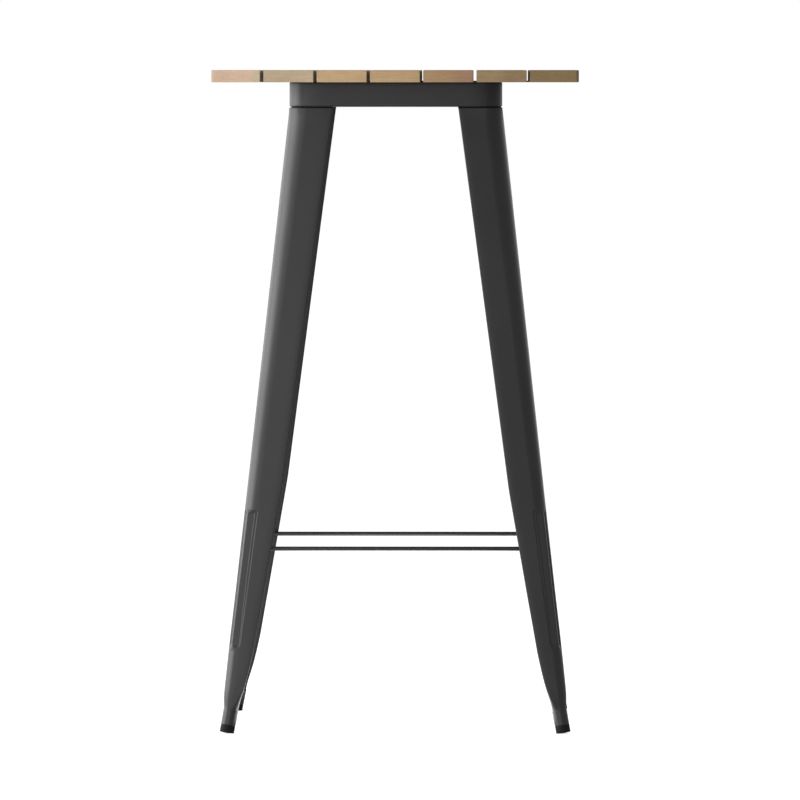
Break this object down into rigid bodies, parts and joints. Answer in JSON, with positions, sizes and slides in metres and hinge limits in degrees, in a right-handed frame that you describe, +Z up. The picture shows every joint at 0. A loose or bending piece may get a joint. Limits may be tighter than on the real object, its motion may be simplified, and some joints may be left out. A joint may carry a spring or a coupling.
{
  "type": "bar table",
  "caption": "Square bar-height table: a slatted wood top on a splayed stand of pressed steel angle legs under a rounded apron, braced low down by round rods.",
  "frame": {"origin": "on the floor under the centre of the tabletop", "axes": "+Z up to the tabletop; -Y to the front, where the slats' ends show; the slats run along Y"},
  "size_m": [0.604, 0.604, 1.093],
  "materials": {
    "slat_wood": "matt oiled",
    "powder_coat": "satin charcoal powder coat",
    "zinc_steel": "zinc plated",
    "rubber": "matt moulded"
  },
  "bodies": {
    "root": {"slat_1": "slat_wood", "slat_2": "slat_wood", "slat_3": "slat_wood", "slat_4": "slat_wood", "slat_5": "slat_wood", "slat_6": "slat_wood", "slat_7": "slat_wood", "batten_front": "powder_coat", "batten_back": "powder_coat", "apron": "powder_coat", "slat_screws": "zinc_steel", "batten_screws": "zinc_steel", "batten_nuts": "zinc_steel", "leg_nuts": "zinc_steel", "leg_bolts": "zinc_steel", "leg_washers": "zinc_steel", "corner_gusset_front_left": "powder_coat", "corner_gusset_front_right": "powder_coat", "corner_gusset_back_right": "powder_coat", "corner_gusset_back_left": "powder_coat", "leg_tab_front_left": "powder_coat", "leg_tab_front_right": "powder_coat", "leg_tab_back_right": "powder_coat", "leg_tab_back_left": "powder_coat", "leg_front_left": "powder_coat", "leg_front_right": "powder_coat", "leg_back_right": "powder_coat", "leg_back_left": "powder_coat", "ferrule_front_left": "powder_coat", "ferrule_front_right": "powder_coat", "ferrule_back_right": "powder_coat", "ferrule_back_left": "powder_coat", "foot_cap_front_left": "rubber", "foot_cap_front_right": "rubber", "foot_cap_back_right": "rubber", "foot_cap_back_left": "rubber", "stretcher_front": "powder_coat", "stretcher_back": "powder_coat", "stretcher_left": "powder_coat", "stretcher_right": "powder_coat"}
  },
  "joints": []
}
